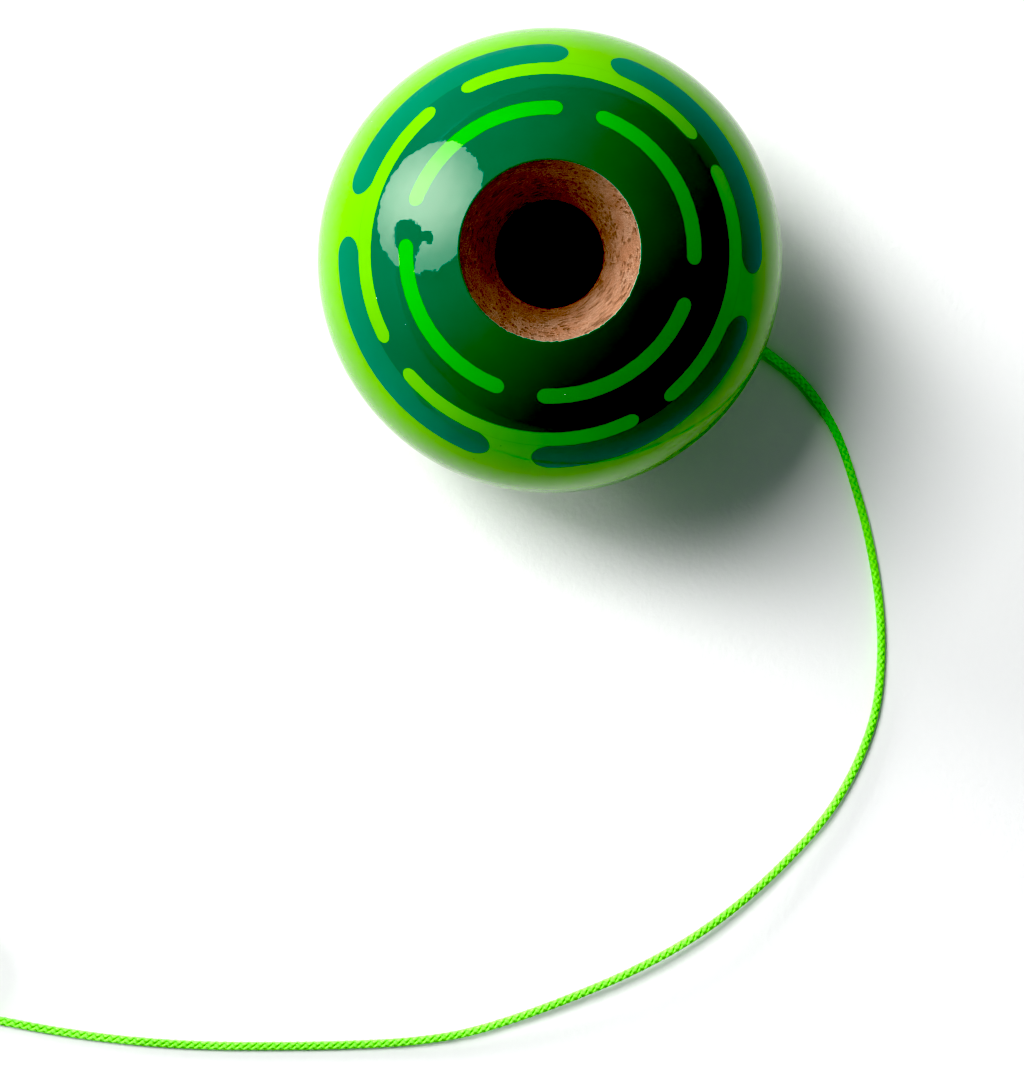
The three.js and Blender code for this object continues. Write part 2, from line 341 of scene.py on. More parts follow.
def dash_group():
    """Four painted dashes with round ends, evenly round the bore."""
    sockets = ("Around", "Down", "Radius", "Middle", "Half Width", "Span", "Turn")
    inputs = {name: "NodeSocketFloat" for name in sockets}
    outputs = {"Mask": "NodeSocketFloat"}
    graph, given, result = node_group("Painted Dashes", "ShaderNodeTree", inputs, outputs)
    per_degree = graph.times(given["Radius"], math.radians(1))
    ring = graph.times(per_degree, graph.math("SINE", graph.math("RADIANS", given["Middle"])))
    half_width = graph.times(given["Half Width"], per_degree)
    half_span = graph.times(given["Span"], graph.times(ring, 0.5))
    turned = graph.math("WRAP", graph.minus(given["Around"], given["Turn"]), 45.0, -45.0)
    along = graph.times(graph.math("ABSOLUTE", turned), ring)
    past = graph.math("MAXIMUM", graph.minus(along, graph.minus(half_span, half_width)), 0.0)
    across = graph.times(graph.minus(given["Down"], given["Middle"]), per_degree)
    squares = graph.plus(graph.times(past, past), graph.times(across, across))
    outside = graph.minus(graph.math("SQRT", squares), half_width)
    graph.feed(result.inputs["Mask"], graph.ramp(outside, 0.05, -0.05))
    return graph.tree


def turning_group():
    """Fine rings round the bore's axis, as a lathe leaves them."""
    inputs = {"Vector": "NodeSocketVector", "Pitch": "NodeSocketFloat", "Uneven": "NodeSocketFloat"}
    outputs = {"Height": "NodeSocketFloat"}
    graph, given, result = node_group("Turning Marks", "ShaderNodeTree", inputs, outputs)
    part = graph.add("ShaderNodeSeparateXYZ", {0: given["Vector"]}).outputs
    radius = graph.vector("LENGTH", graph.first("ShaderNodeCombineXYZ", {0: part[0], 1: part[1]}))
    drift = graph.times(graph.noise(given["Vector"], 1.1), given["Uneven"])
    place = graph.plus(graph.plus(radius, graph.times(part[2], 0.6)), drift)
    wave = graph.math("SINE", graph.times(graph.math("DIVIDE", place, given["Pitch"]), math.tau))
    graph.feed(result.inputs["Height"], graph.math("MULTIPLY_ADD", wave, 0.5, 0.5))
    return graph.tree


def use_group(graph, name, inputs):
    node = graph.add("ShaderNodeGroup", node_tree=bpy.data.node_groups[name])
    graph.fill(node, inputs)
    return node.outputs


# Materials


def paint_material(paint, radius):
    """Two coats of colour with dashes masked out, under clear gloss lacquer, and a faint painted glow in
    the dark paints.
    """
    made, graph, shader = material("painted_wood_gloss")
    place = local_millimetres(graph)
    wobble = graph.math("MULTIPLY_ADD", graph.noise(place, 0.9, 3.0), 0.34, -0.17)
    part = graph.add("ShaderNodeSeparateXYZ", {0: place}).outputs
    across = graph.vector("LENGTH", graph.first("ShaderNodeCombineXYZ", {0: part[0], 1: part[1]}))
    around = graph.math("DEGREES", graph.math("ARCTAN2", part[1], part[0]))
    down = graph.plus(graph.math("DEGREES", graph.math("ARCTAN2", across, part[2])), wobble)
    masks = []
    for row in (paint.inner_dashes, paint.edge_dashes, paint.outer_dashes):
        inputs = dict(zip(("Middle", "Half Width", "Span", "Turn"), row))
        inputs.update({"Around": around, "Down": down, "Radius": radius / MM})
        masks.append(use_group(graph, "Painted Dashes", inputs)["Mask"])
    inner, edge, outer = masks
    cap = graph.ramp(down, paint.cap_edge + 0.1, paint.cap_edge - 0.1)
    dark = graph.times(graph.math("MAXIMUM", cap, outer), graph.minus(1.0, edge))
    coats = graph.mix(dark, opaque(paint.lime), graph.mix(cap, opaque(paint.sea), opaque(paint.green)))
    coats = graph.mix(inner, coats, opaque(paint.bright))
    cloud = graph.ramp(graph.noise(place, 0.1, 3.0), 0.3, 0.7, 0.95, 1.03)
    coats = graph.dimmed(coats, cloud)
    reach = graph.vector("LENGTH", place)
    cut = graph.ramp(reach, radius / MM - 0.03, radius / MM - 0.09)
    coats = graph.mix(cut, coats, CHIPPED_EDGE)
    dust = graph.specks(place, 0.22, 0.022, 0.6)
    coats = graph.mix(graph.times(dust, 0.7), coats, grey(0.75))
    nicks = graph.specks(place, 0.31, 0.03, 0.22)
    coats = graph.mix(graph.times(nicks, 0.8), coats, grey(0.012))
    relief = graph.math("MULTIPLY_ADD", dark, 0.35, graph.times(graph.noise(place, 0.45, 2.0), 0.6))
    relief = graph.minus(relief, graph.math("MAXIMUM", dust, nicks))
    # Painted glow: the cap and the dark dashes give off a faint light of their own, to lift their shade
    painted_glow = graph.mix(cap, opaque(paint.sea_painted_glow), opaque(paint.cap_painted_glow))
    graph.fill(shader, {
        "Base Color": coats,
        "Roughness": graph.ramp(graph.noise(place, 0.5, 3.0), 0.3, 0.7, 0.34, 0.46),
        "Specular IOR Level": 0.0,
        "Normal": graph.bump(relief, 0.02 * MM, 0.6),
        "Coat Weight": 0.92,
        "Coat Roughness": 0.025,
        "Coat IOR": 1.32,
        "Coat Normal": graph.bump(graph.noise(place, 0.35, 3.0, 0.6), 0.02 * MM, 1.0),
        "Emission Color": graph.mix(dark, grey(0.0), painted_glow),
        "Emission Strength": paint.coat_glow,
    })
    return made


def along_grain(graph, place, lean, long, wide):
    """Coordinates along and across the fibres, in units of one fibre's length and width."""
    turn = {"Vector": place, "Rotation": (0.12, lean, math.radians(40)), "Scale": (long, wide, wide)}
    return graph.first("ShaderNodeMapping", turn, vector_type="TEXTURE")


def bare_wood_material(paint, sizes):
    """Oiled beech, turned across its grain: soft bands, fine fibres and short dark flecks, with painted
    shade down in the bore and a faint painted glow on the bevel.
    """
    made, graph, shader = material("oiled_hardwood")
    place = local_millimetres(graph)
    wander = graph.add("ShaderNodeTexNoise", {"Vector": place, "Scale": 0.18}).outputs["Color"]
    bent = graph.vector("ADD", place, graph.scaled(wander, 2.5))
    bands = graph.ramp(graph.noise(along_grain(graph, bent, 0.1, 14.0, 1.6), 1.0, 3.0, 0.5), 0.3, 0.72)
    tone = graph.mix(bands, opaque(paint.wood), opaque(paint.wood_pale))
    fibre = graph.noise(along_grain(graph, place, 0.0, 1.3, 0.13), 1.0, 4.0, 0.6)
    tone = graph.mix(graph.ramp(fibre, 0.42, 0.6, 0.0, 0.75), tone, opaque(paint.wood_fleck))
    strokes = along_grain(graph, bent, 0.05, 2.6, 0.62)
    cell = graph.add("ShaderNodeTexVoronoi", {"Vector": strokes, "Scale": 1.0})
    patches = graph.ramp(graph.noise(place, 0.3, 2.0), 0.38, 0.5)
    fleck = graph.times(graph.ramp(cell.outputs["Distance"], 0.42, 0.27), patches)
    tone = graph.mix(graph.times(fleck, 0.85), tone, opaque(paint.wood_fleck))
    streaks = graph.noise(along_grain(graph, place, 0.3, 0.9, 0.2), 1.0, 3.0, 0.6)
    pale = graph.ramp(streaks, 0.54, 0.7, 0.0, 0.6)
    tone = graph.mix(pale, tone, opaque([part * 1.25 for part in paint.wood_pale]))
    part = graph.add("ShaderNodeSeparateXYZ", {0: place}).outputs
    foot = sizes.bevel_foot / MM
    # Painted shade: the wood down in the bore is dimmed to six tenths of its tone
    painted_shade = graph.ramp(part[2], foot - 1.2, foot + 0.2, 0.6, 1.0)
    # Painted glow: the bevel's wood gives off a faint warm light of its own, to lift its shade
    painted_glow = graph.ramp(part[2], foot - 0.2, foot + 0.7)
    marks = use_group(graph, "Turning Marks", {"Vector": place, "Pitch": 0.42, "Uneven": 0.8})["Height"]
    height = graph.math("MULTIPLY_ADD", marks, 0.15, graph.times(pale, 0.8))
    height = graph.minus(height, graph.plus(fleck, graph.times(fibre, 0.7)))
    graph.fill(shader, {
        "Base Color": graph.dimmed(tone, painted_shade),
        "Roughness": graph.ramp(fibre, 0.3, 0.7, 0.42, 0.62),
        "Normal": graph.bump(height, 0.26 * MM, 1.0),
        "Emission Color": graph.mix(painted_glow, grey(0.0), opaque(paint.wood_painted_glow)),
        "Emission Strength": paint.wood_glow,
    })
    return made


def metal_material(name, tint, low, high, pitch):
    """Turned or ground metal, with fine rings and a little staining."""
    made, graph, shader = material(name)
    place = local_millimetres(graph)
    marks = use_group(graph, "Turning Marks", {"Vector": place, "Pitch": pitch, "Uneven": 0.05})["Height"]
    stain = graph.noise(place, 1.3, 5.0, 0.6)
    dull = opaque([part * 0.55 for part in tint])
    tone = graph.mix(graph.ramp(stain, 0.4, 0.75, 0.0, 0.35), opaque(tint), dull)
    graph.fill(shader, {
        "Base Color": tone,
        "Roughness": graph.math("MULTIPLY_ADD", stain, high - low, low),
        "Metallic": 1.0,
        "Normal": graph.bump(graph.plus(marks, stain), 0.004 * MM, 0.5),
    })
    return made


def yarn_material(string):
    """Glossy polyester yarn with fine filaments along it: a painted highlight on its crowns, painted shade
    between them, and a faint painted glow.
    """
    made, graph, shader = material("lime_yarn")
    place = table_millimetres(graph)
    lift, strand, round_it, along = (graph.attribute(name) for name in ("lift", "strand", "round", "along"))
    lane = {0: graph.times(along, 0.8), 1: graph.times(round_it, 9.0), 2: strand}
    filaments = graph.noise(graph.first("ShaderNodeCombineXYZ", lane), 1.0, 3.0, 0.65)
    # Partly random filaments, partly painted light: lighter where a strand rides over, darker in the
    # hollows between strands
    shade = graph.ramp(graph.math("MULTIPLY_ADD", filaments, 0.7, graph.times(lift, 0.5)), -0.1, 0.75)
    tone = graph.mix(shade, opaque(string.painted_shade), opaque(string.light))
    patch = graph.ramp(graph.noise(place, 0.11, 3.0), 0.35, 0.65, 0.88, 1.05)
    tone = graph.dimmed(tone, patch)
    graph.fill(shader, {
        "Base Color": tone,
        "Roughness": graph.ramp(filaments, 0.3, 0.7, 0.42, 0.62),
        "Normal": graph.bump(filaments, 0.03 * MM, 0.8),
        "Sheen Weight": 0.2,
        "Sheen Roughness": 0.4,
        "Emission Color": tone,
        "Emission Strength": string.glow,
    })
    return made


def core_material(string):
    """The braid's shaded core, seen only between its strands."""
    made, graph, shader = material("yarn_core")
    place = table_millimetres(graph)
    speckle = graph.noise(place, 6.0, 3.0, 0.7)
    tone = graph.mix(speckle, opaque([part * 0.55 for part in string.painted_shade]), opaque(string.painted_shade))
    graph.fill(shader, {"Base Color": tone, "Roughness": graph.ramp(speckle, 0.2, 0.8, 0.7, 0.9)})
    return made


def band_material():
    """Soft white plastic band, a little soiled and creased across."""
    made, graph, shader = material("soft_white_band")
    place = table_millimetres(graph)
    soil = graph.noise(place, 0.8, 5.0, 0.6)
    tone = graph.mix(graph.ramp(soil, 0.45, 0.75, 0.0, 0.5), grey(0.8), SOIL)
    graph.fill(shader, {
        "Base Color": tone,
        "Roughness": graph.ramp(soil, 0.3, 0.7, 0.35, 0.55),
        "Normal": graph.bump(graph.noise(place, 3.0, 4.0), 0.03 * MM, 0.7),
        "Subsurface Weight": 0.15,
        "Subsurface Scale": 0.5 * MM,
    })
    return made


def paper_material(stage):
    """Pale matte paper with a faint tooth."""
    made, graph, shader = material("pale_paper")
    place = table_millimetres(graph)
    fibre = graph.noise(place, 0.9, 6.0, 0.65)
    faint = graph.ramp(graph.noise(place, 0.02, 3.0), 0.3, 0.7, 0.0, 0.04)
    tone = graph.mix(faint, opaque(stage.paper), grey(0.74))
    graph.fill(shader, {
        "Base Color": tone,
        "Roughness": graph.ramp(fibre, 0.3, 0.7, 0.8, 0.95),
        "Specular IOR Level": 0.0,
        "Normal": graph.bump(fibre, 0.12 * MM, 0.5),
    })
    return made


# Shapes


def finished(mesh, name, skin=None, smooth=True):
    """A mesh as a linked object at the origin, with one material and smooth faces."""
    piece = bpy.data.objects.new(name, mesh)
    bpy.context.scene.collection.objects.link(piece)
    mesh.name = name
    if skin:
        mesh.materials.clear()
        mesh.materials.append(skin)
    mesh.polygons.foreach_set("use_smooth", [smooth] * len(mesh.polygons))
    return piece


def lay(piece, body, slot, *nodes):
    """Sets a finished piece on its body, in place of these CAD nodes."""
    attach(piece, body)
    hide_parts(*nodes)


def recoat(node, skin):
    """Gives a CAD node that stays as it is a better material."""
    kept = frame["nodes"][node].data.materials
    kept.clear()
    kept.append(skin)


def arc(x, y, radius, start, end, count):
    """Points of an arc, its angles in degrees."""
    points = []
    for i in range(count + 1):
        angle = math.radians(start + (end - start) * i / count)
        points.append((x + radius * math.cos(angle), y + radius * math.sin(angle)))
    return points


def line(start, end, count):
    """Points between two ends, without the ends."""
    return [tuple(a + (b - a) * i / count for a, b in zip(start, end)) for i in range(1, count)]


def softened(outline, radius, count=4):
    """The outline with each corner that turns sharply rounded off, by up to this radius."""
    points = []
    for i, corner in enumerate(outline):
        before, here = Vector(outline[i - 1]), Vector(corner)
        after = Vector(outline[(i + 1) % len(outline)])
        back, on = before - here, after - here
        if back.angle(on) > math.radians(165):
            points.append(here)
            continue
        cut = min(radius, back.length * 0.4, on.length * 0.4)
        start, end = here + back.normalized() * cut, here + on.normalized() * cut
        for k in range(count + 1):
            t = k / count
            points.append(start * (1 - t) ** 2 + here * (2 * t * (1 - t)) + end * t ** 2)
    return [tuple(point) for point in points]


def turned(name, outline, segments, skin, shift=None):
    """A closed outline of (radius, height) turned about the bore's axis, its points moved by shift."""
    shape = bmesh.new()
    rings = []
    for i in range(segments):
        angle = math.tau * i / segments
        ring = []
        for radius, height in outline:
            radius, height = shift(angle, radius, height) if shift else (radius, height)
            x, y = radius * math.cos(angle), radius * math.sin(angle)
            ring.append(shape.verts.new(PLACE @ Vector((x, y, height))))
        rings.append(ring)
    for i in range(segments):
        here, there = rings[i], rings[(i + 1) % segments]
        for k in range(len(outline)):
            after = (k + 1) % len(outline)
            shape.faces.new((here[k], there[k], there[after], here[after]))
    bmesh.ops.recalc_face_normals(shape, faces=shape.faces)
    mesh = bpy.data.meshes.new(name)
    shape.to_mesh(mesh)
    shape.free()
    return finished(mesh, name, skin)


def smooth_line(points, step):
    """A centripetal curve through these points, as points about a step apart."""
    points = [Vector(point) for point in points]
    ends = [points[0] * 2 - points[1], *points, points[-1] * 2 - points[-2]]
    made = []
    for a, b, c, d in zip(ends, ends[1:], ends[2:], ends[3:]):
        ta, tb, tc = (max((q - p).length, 1e-7) ** 0.5 for p, q in ((a, b), (b, c), (c, d)))
        slope_b = ((b - a) / ta - (c - a) / (ta + tb) + (c - b) / tb) * tb
        slope_c = ((c - b) / tb - (d - b) / (tb + tc) + (d - c) / tc) * tb
        count = max(1, round((c - b).length / step))
        for i in range(count):
            t = i / count
            cube = b * 2 - c * 2 + slope_b + slope_c
            square = c * 3 - b * 3 - slope_b * 2 - slope_c
            made.append(cube * t ** 3 + square * t ** 2 + slope_b * t + b)
    made.append(points[-1])
    return made


# Geometry Nodes


def braid_tree():
    """A round braid along an edge path: flat strands that wind both ways, over and under, round a core."""
    inputs = {
        "Geometry": "NodeSocketGeometry", "Radius": "NodeSocketFloat", "Lay": "NodeSocketFloat",
        "Step": "NodeSocketFloat", "Strands Each Way": "NodeSocketInt", "Strand Width": "NodeSocketFloat",
        "Strand Height": "NodeSocketFloat", "Swell": "NodeSocketFloat", "Yarn": "NodeSocketMaterial",
        "Core": "NodeSocketMaterial",
    }
    outputs = {"Geometry": "NodeSocketGeometry"}
    graph, given, result = node_group("Round Braid", "GeometryNodeTree", inputs, outputs)
    graph.tree.is_modifier = True
    path = graph.first("GeometryNodeMeshToCurve", {"Mesh": given["Geometry"]})
    fine = graph.first("GeometryNodeResampleCurve", {"Curve": path, "Length": given["Step"]}, mode="LENGTH")
    middle = graph.minus(given["Radius"], graph.times(given["Strand Height"], 0.5))
    middle = graph.minus(middle, given["Swell"])

    coarse_step = graph.times(given["Step"], 3.0)
    coarse = graph.first("GeometryNodeResampleCurve", {"Curve": path, "Length": coarse_step}, mode="LENGTH")
    ring = {"Resolution": 6, "Radius": middle}
    core_section = graph.first("GeometryNodeCurvePrimitiveCircle", ring, mode="RADIUS")
    core = graph.first("GeometryNodeCurveToMesh", {0: coarse, 1: core_section, "Fill Caps": True})
    core = graph.first("GeometryNodeSetMaterial", {"Geometry": core, "Material": given["Core"]})

    amount = graph.times(given["Strands Each Way"], 2)
    copied = {"Geometry": fine, "Amount": amount}
    copies = graph.add("GeometryNodeDuplicateElements", copied, domain="SPLINE")
    index = copies.outputs["Duplicate Index"]
    way = graph.math("MULTIPLY_ADD", graph.math("MODULO", index, 2.0), 2.0, -1.0)
    pair = graph.math("FLOOR", graph.math("DIVIDE", index, 2.0))
    share = graph.math("DIVIDE", pair, given["Strands Each Way"])
    length_along = graph.add("GeometryNodeSplineParameter").outputs["Length"]
    wound = graph.times(graph.math("DIVIDE", length_along, given["Lay"]), math.tau)
    angle = graph.math("MULTIPLY_ADD", wound, way, graph.times(share, math.tau))
    over = graph.times(graph.math("COSINE", graph.times(wound, given["Strands Each Way"])), way)
    reach = graph.math("MULTIPLY_ADD", over, given["Swell"], middle)
    normal = graph.add("GeometryNodeInputNormal").outputs["Normal"]
    side = graph.vector("CROSS_PRODUCT", graph.first("GeometryNodeInputTangent"), normal)
    up, over_side = graph.math("COSINE", angle), graph.math("SINE", angle)
    outward = graph.vector("ADD", graph.scaled(normal, up), graph.scaled(side, over_side))
    strands = copies.outputs["Geometry"]
    for name, value, kind in (
        ("outward", outward, "FLOAT_VECTOR"),
        ("lift", over, "FLOAT"),
        ("strand", index, "FLOAT"),
        ("along", graph.math("DIVIDE", length_along, MM), "FLOAT"),
    ):
        store = {"Geometry": strands, "Name": name, "Value": value}
        strands = graph.first("GeometryNodeStoreNamedAttribute", store, data_type=kind, domain="POINT")
    moved = graph.scaled(outward, reach)
    strands = graph.first("GeometryNodeSetPosition", {"Geometry": strands, "Offset": moved})
    kept = graph.first("GeometryNodeInputNamedAttribute", {"Name": "outward"}, data_type="FLOAT_VECTOR")
    strands = graph.first("GeometryNodeSetCurveNormal", {"Curve": strands, "Normal": kept}, mode="FREE")
    ring = {"Resolution": 5, "Radius": 0.5}
    section = graph.first("GeometryNodeCurvePrimitiveCircle", ring, mode="RADIUS")
    sides = {0: given["Strand Height"], 1: given["Strand Width"], 2: 1.0}
    flat = graph.first("ShaderNodeCombineXYZ", sides)
    section = graph.first("GeometryNodeTransform", {"Geometry": section, "Scale": flat})
    round_it = graph.add("GeometryNodeSplineParameter").outputs["Factor"]
    store = {"Geometry": section, "Name": "round", "Value": round_it}
    section = graph.first("GeometryNodeStoreNamedAttribute", store, data_type="FLOAT", domain="POINT")
    strands = graph.first("GeometryNodeCurveToMesh", {0: strands, 1: section, "Fill Caps": True})
    strands = graph.first("GeometryNodeSetMaterial", {"Geometry": strands, "Material": given["Yarn"]})

    joined = graph.add("GeometryNodeJoinGeometry")
    graph.tree.links.new(core, joined.inputs[0])
    graph.tree.links.new(strands, joined.inputs[0])
    graph.feed(result.inputs[0], graph.first("GeometryNodeRealizeInstances", {0: joined.outputs[0]}))
    return graph.tree


def bearing_balls_tree():
    """Balls set evenly round a circle, then leaned into place."""
    inputs = {
        "Geometry": "NodeSocketGeometry", "Count": "NodeSocketInt", "Pitch Radius": "NodeSocketFloat",
        "Ball Radius": "NodeSocketFloat", "Place": "NodeSocketVector", "Lean": "NodeSocketVector",
        "Material": "NodeSocketMaterial",
    }
    outputs = {"Geometry": "NodeSocketGeometry"}
    graph, given, result = node_group("Ring Of Balls", "GeometryNodeTree", inputs, outputs)
    graph.tree.is_modifier = True
    ring = {"Vertices": given["Count"], "Radius": given["Pitch Radius"]}
    circle = graph.first("GeometryNodeMeshCircle", ring)
    ball = graph.first("GeometryNodeMeshIcoSphere", {"Radius": given["Ball Radius"], "Subdivisions": 4})
    balls = graph.first("GeometryNodeInstanceOnPoints", {"Points": circle, "Instance": ball})
    balls = graph.first("GeometryNodeRealizeInstances", {0: balls})
    place = {"Geometry": balls, "Translation": given["Place"], "Rotation": given["Lean"]}
    balls = graph.first("GeometryNodeTransform", place)
    balls = graph.first("GeometryNodeSetMaterial", {0: balls, "Material": given["Material"]})
    graph.feed(result.inputs[0], balls)
    return graph.tree


def grown(name, points, tree, inputs):
    """What a Geometry Nodes tree grows on a path of points, as a finished plain mesh."""
    mesh = bpy.data.meshes.new(name + "_path")
    mesh.from_pydata([tuple(point) for point in points], [(i, i + 1) for i in range(len(points) - 1)], [])
    carrier = bpy.data.objects.new(name + "_path", mesh)
    bpy.context.scene.collection.objects.link(carrier)
    modifier = carrier.modifiers.new("grow", "NODES")
    modifier.node_group = tree
    for socket in tree.interface.items_tree:
        if socket.in_out == "INPUT" and socket.name in inputs:
            modifier[socket.identifier] = inputs[socket.name]
    depsgraph = bpy.context.evaluated_depsgraph_get()
    result = bpy.data.meshes.new_from_object(carrier.evaluated_get(depsgraph), depsgraph=depsgraph)
    bpy.data.objects.remove(carrier)
    bpy.data.meshes.remove(mesh)
    return finished(result, name)


# The wood and its paint


def ball_outline(sizes):
    """The turned wood, anticlockwise from the string hole's mouth, just under the paint film."""
    skin = sizes.radius - sizes.film
    mouth = math.degrees(math.asin(sizes.mouth_radius / skin))
    rim = math.degrees(math.acos(sizes.rim_radius / skin))
    rim_height = skin * math.sin(math.radians(rim))
    bore, foot = sizes.bore_radius, sizes.bevel_foot
    seat, relief_radius = sizes.seat_radius, 3.3 * MM
    relief = sizes.seat_floor - 0.5 * MM
    swell = 0.35 * MM
    bevel = []
    for i in range(1, 25):
        t = i / 25
        bulge = swell * math.sin(math.pi * t) ** 2
        radius = sizes.rim_radius + (bore - sizes.rim_radius) * t - bulge * 0.9
        bevel.append((radius, rim_height + (foot - rim_height) * t - bulge * 0.4))
    outline = arc(0, 0, skin, mouth - 90, rim, 56) + bevel
    outline += [(bore, foot)] + line((bore, foot), (bore, sizes.bore_floor), 10)
    outline += [(bore, sizes.bore_floor), (seat, sizes.bore_floor), (seat, sizes.seat_floor)]
    outline += [(relief_radius, sizes.seat_floor), (relief_radius, relief)]
    outline += [(sizes.hole_radius, relief), (sizes.hole_radius, sizes.mouth_top)]
    return softened(outline, 0.35 * MM)


def paint_outline(sizes):
    """The film's outer face from the mouth to the rim, rolled over at the rim, and its inner face back."""
    inner = sizes.radius - sizes.film + 0.01 * MM
    mouth = math.degrees(math.asin(sizes.mouth_radius / sizes.radius))
    rim = math.degrees(math.acos(sizes.rim_radius / sizes.radius))
    outer = arc(0, 0, sizes.radius, mouth - 90, rim - 3, 92) + arc(0, 0, sizes.radius, rim - 2.6, rim, 8)
    middle, edge = (sizes.radius + inner) / 2, math.radians(rim + 0.12)
    roll = [(middle * math.cos(edge), middle * math.sin(edge))]
    back = arc(0, 0, inner, rim, mouth - 90, 16)
    return outer + roll + back


def chips(depth, count, seed):
    """How far the film's edge is chipped back, by angle: a fine tooth and a few deeper bites."""
    draw = random.Random(seed)
    tooth = [draw.random() ** 3 for _ in range(count)]
    bites = [(draw.uniform(3.6, 6.2), draw.uniform(0.006, 0.03), draw.uniform(0.4, 1.0)) for _ in range(26)]

    def at(angle):
        place = angle / math.tau * count
        low = int(place) % count
        blend = place - int(place)
        worn = 0.3 * (tooth[low] * (1 - blend) + tooth[(low + 1) % count] * blend)
        for middle, width, strength in bites:
            off = abs((angle - middle + math.pi) % math.tau - math.pi)
            worn = max(worn, strength * max(0.0, 1 - (off / width) ** 2))
        return depth * worn

    return at


class KENDAMA_OT_wooden_ball(bpy.types.Operator):
    """Turn the wooden ball, with its bevel, bore, bearing seat and string hole, and paint its outside"""

    bl_idname = "kendama.wooden_ball"
    bl_label = "Wooden Ball"

    def execute(self, context):
        sizes, paint = context.scene.kendama_ball, context.scene.kendama_paint
        wood = turned("ball_wood", ball_outline(sizes), 256, bare_wood_material(paint, sizes))
        lay(wood, "ball", "painted_wood", "wooden_ball")
        facets = 420
        worn = chips(sizes.chip, facets, 5)
        rim = math.acos(sizes.rim_radius / sizes.radius)

        def chipped(angle, radius, height):
            latitude = math.atan2(height, radius)
            near = max(0.0, 1 - (rim - latitude) / math.radians(2.2))
            back = worn(angle) * min(1.0, near) / sizes.radius
            reach = math.hypot(radius, height)
            return reach * math.cos(latitude - back), reach * math.sin(latitude - back)

        skin = paint_material(paint, sizes.radius)
        film = turned("ball_paint", paint_outline(sizes), facets, skin, chipped)
        lay(film, "ball", "painted_wood", "wooden_ball")
        return {"FINISHED"}


# The bearing and the washer


def at_height(outline, height):
    return [(radius, level + height) for radius, level in outline]


class KENDAMA_OT_bearing(bpy.types.Operator):
    """Turn the bearing's rings and shields, set its balls, and finish its cage"""

    bl_idname = "kendama.bearing"
    bl_label = "Bearing"

    def execute(self, context):
        steel = metal_material("ground_steel", (0.5, 0.51, 0.53), 0.28, 0.45, 0.09)
        brass = bpy.data.materials["turned_brass"]
        half, pitch, land, groove = 1.5 * MM, 2.75 * MM, 0.45 * MM, 0.7 * MM
        outer_land, inner_land, recess = pitch + land, pitch - land, 0.35 * MM
        reach = math.degrees(math.acos(land / groove))
        outer = [
            (4 * MM, -half), (4 * MM, half), (outer_land + recess, half),
            (outer_land + recess, half - recess), (outer_land, half - recess),
            *arc(pitch, 0, groove, reach, -reach, 14),
            (outer_land, recess - half), (outer_land + recess, recess - half), (outer_land + recess, -half),
        ]
        inner = [
            (1.5 * MM, -half), (inner_land, -half), *arc(pitch, 0, groove, 180 + reach, 180 - reach, 14),
            (inner_land, half), (1.5 * MM, half),
        ]
        for name, body, outline in (
            ("bearing_outer_ring", "ball", outer),
            ("bearing_inner_ring", "string", inner),
        ):
            outline = at_height(softened(outline, 0.12 * MM), BEARING_HEIGHT)
            ring = turned(name + "_fine", outline, 96, steel)
            lay(ring, body, "bearing_steel", name)
        for name, side in (("bearing_upper_shield", 1), ("bearing_lower_shield", -1)):
            low, high = half - 0.28 * MM, half - 0.08 * MM
            pressed = [
                (inner_land + 0.15 * MM, low), (inner_land + 0.45 * MM, low),
                (outer_land + 0.25 * MM, low), (outer_land + 0.25 * MM, high),
                (inner_land + 0.55 * MM, high), (inner_land + 0.35 * MM, high - 0.06 * MM),
                (inner_land + 0.15 * MM, high - 0.06 * MM),
            ]
            flipped = [(radius, level * side) for radius, level in pressed][::side]
            outline = at_height(softened(flipped, 0.04 * MM), BEARING_HEIGHT)
            disc = turned(name + "_fine", outline, 96, steel)
            lay(disc, "ball", "bearing_steel", name)
        centre = PLACE @ Vector((0, 0, BEARING_HEIGHT))
        given = {
            "Count": 7, "Pitch Radius": pitch, "Ball Radius": 0.55 * MM, "Place": tuple(centre),
            "Lean": (0.0, -LEAN, 0.0), "Material": steel,
        }
        balls = grown("bearing_balls", [(0, 0, 0), (0, 0, MM)], bearing_balls_tree(), given)
        lay(balls, "cage", "bearing_steel", *[f"bearing_ball_{i}" for i in range(1, 8)])
        recoat("bearing_cage", brass)
        return {"FINISHED"}


class KENDAMA_OT_washer(bpy.types.Operator):
    """Turn the brass washer that carries the stopper knot"""

    bl_idname = "kendama.washer"
    bl_label = "Washer"

    def execute(self, context):
        brass = metal_material("turned_brass", (0.78, 0.56, 0.24), 0.18, 0.38, 0.12)
        inner, outer = 0.9 * MM, 2.4 * MM
        outline = [(inner, WASHER_FOOT), (outer, WASHER_FOOT), (outer, WASHER_TOP), (inner, WASHER_TOP)]
        washer = turned("washer_fine", softened(outline, 0.22 * MM, 6), 96, brass)
        lay(washer, "string", "cage_brass", "washer")
        return {"FINISHED"}


# The string


def on_axis(height):
    return CENTRE + AXIS * height


def way_out(string):
    """From under the stopper knot down the hole, then round a bend until it runs level along the table."""
    radius, bend = string.diameter / 2, string.bend_radius
    start = (radius + bend - bend * SIDEWAYS.z - CENTRE.z) / AXIS.z
    points = [on_axis(WASHER_TOP + (start - WASHER_TOP) * i / 8) for i in range(8)]
    centre = on_axis(start) + SIDEWAYS * bend
    turn = math.pi / 2 - LEAN
    for i in range(9):
        angle = turn * i / 8
        points.append(centre - SIDEWAYS * (bend * math.cos(angle)) - AXIS * (bend * math.sin(angle)))
    return points


